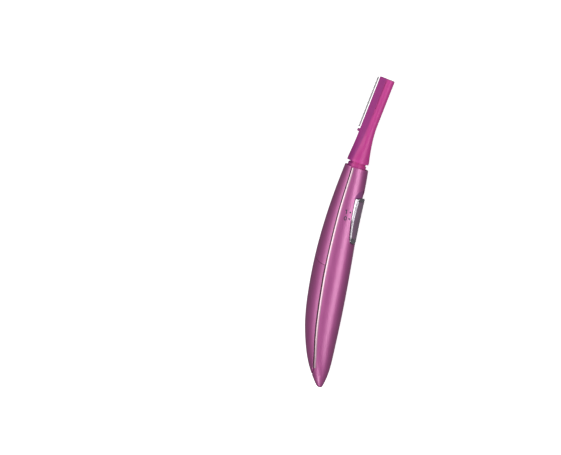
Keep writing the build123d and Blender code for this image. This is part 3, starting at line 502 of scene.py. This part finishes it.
# ---------------------------------------------------------------------------------------------
# Detailed pieces
# ---------------------------------------------------------------------------------------------
def skin(name, rings, material, body, crease, path_closed=False, fade=None):
    """Closed skin over rings of points, each of which runs round one section.

    crease is the angle in degrees above which an edge stays sharp; fade is one value per
    point of a ring.
    """
    mesh = bpy.data.meshes.new(name)
    bm = bmesh.new()
    rows = [[bm.verts.new(point) for point in ring] for ring in rings]
    following = rows[1:] + rows[:1] if path_closed else rows[1:]
    for lower, upper in zip(rows, following):
        for index, corner in enumerate(lower):
            after = (index + 1) % len(lower)
            bm.faces.new((corner, lower[after], upper[after], upper[index]))
    if not path_closed:
        bm.faces.new(rows[0][::-1])
        bm.faces.new(rows[-1])
    bmesh.ops.recalc_face_normals(bm, faces=bm.faces)
    for face in bm.faces:
        face.smooth = True
    bm.to_mesh(mesh)
    bm.free()
    mesh.set_sharp_from_angle(angle=math.radians(crease))
    mesh.materials.append(MATERIALS[material])
    if fade:
        values = mesh.attributes.new("fade", "FLOAT", "POINT").data
        values.foreach_set("value", fade * len(rings))
    piece = bpy.data.objects.new(name, mesh)
    SCENE.collection.objects.link(piece)
    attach(piece, body)
    return piece


class Shell:
    """Finds a CAD shell's outside and its edge along the seam, on one side of MID_Z.

    side is +1 above it and -1 below it; facing is the way, along x, from the edge to the shell.
    """

    def __init__(self, node, side, facing):
        mesh = NODES[node].data
        self.tree = BVHTree.FromPolygons(
            [vertex.co for vertex in mesh.vertices],
            [tuple(face.vertices) for face in mesh.polygons],
        )
        self.side = side
        self.facing = facing

    def height(self, x, y):
        """Distance of the outside from the plane of symmetry, or None past the edge."""
        start = Vector((x, y, MID_Z + self.side * CAST_FROM))
        hit = self.tree.ray_cast(start, Vector((0, 0, -self.side)))[0]
        if hit is None or (hit.z - MID_Z) * self.side < 0:
            return None
        return (hit.z - MID_Z) * self.side

    def edge(self, y, near):
        """x of the shell's edge at y, found between a point on the shell and one past it."""
        on, off = near + self.facing * SEAM_SEARCH, near - self.facing * SEAM_SEARCH
        for _ in range(SEAM_HALVINGS):
            middle = (on + off) / 2
            if self.height(middle, y) is None:
                off = middle
            else:
                on = middle
        return on

    def strip_ring(self, y, near, profile):
        """Section of a strip that follows the shell up to its edge and rounds it off."""
        edge = self.edge(y, near)
        inner, outer = (self.height(edge + self.facing * d, y) for d in LIP_SAMPLES)
        slope = (outer - inner) / (LIP_SAMPLES[1] - LIP_SAMPLES[0])
        ring = []
        for across, depth in profile:
            height = inner + slope * (across - LIP_SAMPLES[0]) - depth
            ring.append(Vector((edge + self.facing * across, y, MID_Z + self.side * height)))
        return ring


def seam_x(station):
    """Rough x of the seam, where the search for the shells' edges starts."""
    bend = SEAM_BEND_ABOVE if station > SEAM_MIDDLE else SEAM_BEND_BELOW
    return SEAM_X + bend * ((station - SEAM_MIDDLE) / SEAM_REACH) ** 2


def build_lips():
    """Strips along the seam: a wide lip in front, pale as a painted highlight, narrow ones
    behind, and between them a dark strip, painted shadow down in the groove.
    """
    pink, shadow_dark = "body_pink", "seal_rubber"
    runs = [
        ("front_lip", "front_shell", 1, FRONT_LIP, SEAM_FROM, SEAM_TO, "handle", "lip_pink"),
        # dark strip in the groove, painted shadow
        ("seam_shadow_strip", "front_shell", 1, SEAM_SHADOW_STRIP, SEAM_FROM, SHADOW_STRIP_TO, "handle", shadow_dark),
        ("back_lip", "back_shell", -1, REAR_LIP, BACK_SEAM_FROM, SEAM_TO, "handle", pink),
        ("cover_lip", "battery_cover", -1, REAR_LIP, SEAM_FROM, COVER_SEAM_TO, "cover", pink),
    ]
    for name, node, facing, profile, first, last, body, material in runs:
        count = round((last - first) / SEAM_STEP)
        stations = [first + (last - first) * i / count for i in range(count + 1)]
        fade = LIP_HIGHLIGHT_FADE if name == "front_lip" else None
        for side, label in ((1, "upper"), (-1, "lower")):
            shell = Shell(node, side, facing)
            rings = [shell.strip_ring(TIP_Y + s, seam_x(s), profile) for s in stations]
            skin(f"{name}_{label}", rings, material, body, crease=60.0, fade=fade)


def build_cover_shadow_strip():
    """Dark strip in the arched gap between the battery cover and the back shell: painted shadow.
    """
    shell = Shell("back_shell", 1, -1)
    rings = []
    for step in range(-COVER_SHADOW_STEPS, COVER_SHADOW_STEPS + 1):
        turn = COVER_SHADOW_TURN * step / COVER_SHADOW_STEPS
        outward = Vector((-math.cos(turn), 0, math.sin(turn)))
        y = TIP_Y + COVER_TOP
        for _ in range(COVER_SHADOW_ROUNDS):
            start = Vector((COVER_MIDDLE_X, y + PAST_COVER_LIP, MID_Z)) + outward * CAST_FROM
            outside = shell.tree.ray_cast(start, -outward)[0]
            z = outside.z - MID_Z
            arch = math.sqrt(COVER_ARCH**2 - z**2)
            y = TIP_Y + COVER_TOP - COVER_ARCH + arch - COVER_HALF_GAP
        ring = []
        for depth, share in COVER_SHADOW_SECTION:
            point = outside - outward * COVER_SHADOW_DEPTHS[depth]
            ring.append(Vector((point.x, y + share * COVER_SHADOW_HALF, point.z)))
        rings.append(ring)
    skin("cover_shadow_strip", rings, "seal_rubber", "handle", crease=30.0)


def switch_outline(first, last, halves, rounds):
    """Half outline from the lower end to the upper end: (station, z) with rounded corners."""
    points = []
    for end, half, corner, outward in (
        (first, halves[0], rounds[0], -1),
        (last, halves[2], rounds[1], 1),
    ):
        reach, drop = SWITCH_WIDEST - end, halves[1] - half
        radius = (reach**2 + drop**2) / (2 * drop)
        centre = halves[1] - radius
        corner_s = end - outward * corner
        corner_z = centre + math.sqrt((radius - corner) ** 2 - (corner_s - SWITCH_WIDEST) ** 2)
        # angles are from +z towards +station
        square = outward * math.pi / 2
        turn = math.atan2(corner_s - SWITCH_WIDEST, corner_z - centre)
        run = [(end, corner_z * k / END_STEPS) for k in range(END_STEPS + 1)]
        for k in range(1, CORNER_STEPS):
            angle = square + (turn - square) * k / CORNER_STEPS
            run.append((corner_s + corner * math.sin(angle), corner_z + corner * math.cos(angle)))
        for k in range(SIDE_STEPS):
            angle = turn * (1 - k / SIDE_STEPS)
            along, out = radius * math.sin(angle), radius * math.cos(angle)
            run.append((SWITCH_WIDEST + along, centre + out))
        if outward < 0:
            points = run + [(SWITCH_WIDEST, halves[1])]
        else:
            points += run[::-1]
    return points


def on_round(station, z, radius, centre_x, height=0.0):
    """Point on a round surface about an axis along the handle, raised along its normal."""
    tilt = math.asin(max(-1.0, min(1.0, z / radius)))
    reach = radius + height
    return Vector(
        (centre_x + reach * math.cos(tilt), TIP_Y + station, MID_Z + reach * math.sin(tilt))
    )


def crown(station, z, height):
    """Point on the crowned top of the switch, which stands prouder towards its upper end."""
    rise = CROWN_RISE * (station - SWITCH_FROM) / (SWITCH_TO - SWITCH_FROM)
    return on_round(station, z, CROWN_RADIUS, CROWN_X + rise, height)


def build_switch():
    """Plated frame with a rolled rim, and the smoked window in it."""
    outer = switch_outline(SWITCH_FROM, SWITCH_TO, SWITCH_HALVES, SWITCH_ROUNDS)
    inner = switch_outline(WINDOW_FROM, WINDOW_TO, WINDOW_HALVES, WINDOW_ROUNDS)
    pairs = list(zip(outer, inner))
    pairs += [((a[0], -a[1]), (b[0], -b[1])) for a, b in pairs[-2:0:-1]]
    rings = []
    for (outer_s, outer_z), (inner_s, inner_z) in pairs:
        wide, deep = inner_s - outer_s, inner_z - outer_z
        ring = [
            crown(outer_s + share * wide, outer_z + share * deep, height)
            for share, height in FRAME_ROLL
        ]
        foot = (outer_s + FRAME_FOOT * wide, outer_z + FRAME_FOOT * deep)
        for (station, z), radius in (
            ((inner_s, inner_z), SLIDER_OUTER),
            (foot, SLIDER_OUTER),
            (foot, SLIDER_INNER),
            ((outer_s, outer_z), SLIDER_INNER),
        ):
            ring.append(on_round(station, z, radius, FLOOR_X))
        rings.append(ring)
    frame_piece = skin(
        "switch_frame", rings, "bezel_chrome", "switch",
        crease=50.0, path_closed=True,
    )
    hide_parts("switch_bezel")

    lens_half = switch_outline(
        WINDOW_FROM + WINDOW_GAP,
        WINDOW_TO - WINDOW_GAP,
        [half - WINDOW_GAP for half in WINDOW_HALVES],
        WINDOW_ROUNDS,
    )[END_STEPS:-END_STEPS]
    columns = [-1 + 2 * k / (LENS_COLUMNS - 1) for k in range(LENS_COLUMNS)]
    rings = []
    for index, (station, half) in enumerate(lens_half):
        from_end = min(index, len(lens_half) - 1 - index)
        end_drop = LENS_EDGE * max(0.0, 1 - from_end / LENS_END_ROWS) ** 2
        ring = []
        for column in columns:
            drop = max(end_drop, LENS_EDGE * abs(column) ** LENS_SIDE_POWER)
            ring.append(crown(station, half * column, LENS_TOP - drop))
        for column in (columns[-1], 0.0, columns[0]):
            ring.append(on_round(station, half * column, SLIDER_OUTER, FLOOR_X))
        rings.append(ring)
    lens = skin("switch_window", rings, "lens_smoke", "switch", crease=35.0)
    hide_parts("switch_lens")


def build_well():
    """Darker floor of the recess above the switch, round at its upper end."""
    centre = WELL_TO - WELL_HALF
    rings = []
    for step in range(WELL_STEPS + 1):
        share = math.sin(step / WELL_STEPS * math.pi / 2)
        station = WELL_FROM + (WELL_TO - WELL_FROM) * share
        half = WELL_HALF
        if station > centre:
            half = math.sqrt(max(WELL_LEAST_SQUARE, WELL_HALF**2 - (station - centre) ** 2))
        across = [-half + 2 * half * k / WELL_COLUMNS for k in range(WELL_COLUMNS + 1)]
        top = [on_round(station, z, FLOOR_RADIUS, FLOOR_X, WELL_SKIN) for z in across]
        bottom = [on_round(station, z, FLOOR_RADIUS, FLOOR_X, -WELL_SKIN) for z in across[::-1]]
        rings.append(top + bottom)
    skin("switch_well", rings, "well_magenta", "handle", crease=35.0)


def build_cell():
    """Printed bands and marks on the cell's jacket, all facing the back."""
    inside = CELL_RADIUS - CELL_MARK_SINK
    for name, (material, first, last, spread, height) in CELL_MARKS.items():
        outside = CELL_RADIUS + height
        steps = max(2, round(spread / CELL_MARK_STEP))
        whole = spread == 360
        rings = []
        for step in range(steps if whole else steps + 1):
            angle = math.radians(spread * (step / steps - 0.5))
            ring = []
            for radius, station in (
                (inside, first),
                (outside, first),
                (outside, last),
                (inside, last),
            ):
                x, z = CELL_X - radius * math.cos(angle), MID_Z + radius * math.sin(angle)
                ring.append(Vector((x, TIP_Y + station, z)))
            rings.append(ring)
        skin(name, rings, material, "handle", crease=30.0, path_closed=whole)


build_camera()
build_stage()
MATERIALS = {name: build(name, **look) for name, (build, look) in RECIPES.items()}
dress_nodes()
build_lips()
build_cover_shadow_strip()
build_switch()
build_well()
build_cell()
